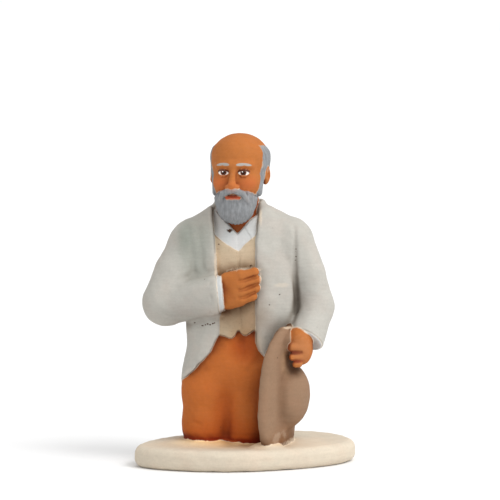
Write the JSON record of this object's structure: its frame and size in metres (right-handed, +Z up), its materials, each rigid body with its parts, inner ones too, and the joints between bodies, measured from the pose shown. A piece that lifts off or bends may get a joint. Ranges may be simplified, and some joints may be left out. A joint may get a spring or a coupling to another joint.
{
  "type": "santon figure",
  "caption": "Painted clay crib figure of an old man kneeling on an oval base, one fist on the chest, a felt hat held upright at the side.",
  "frame": {"origin": "middle of the base's underside, on the surface the figure stands on", "axes": "+Z up, the figure faces -Y, +X towards the figure's left hand and the hat"},
  "size_m": [0.044, 0.0322, 0.066],
  "materials": {
    "painted_clay": "matt hand-painted fired clay: warm light grey coat, cream waistcoat, white shirt and cuffs, ochre-orange trousers, taupe hat, cream base"
  },
  "bodies": {
    "root": {"santon": "painted_clay"}
  },
  "joints": []
}
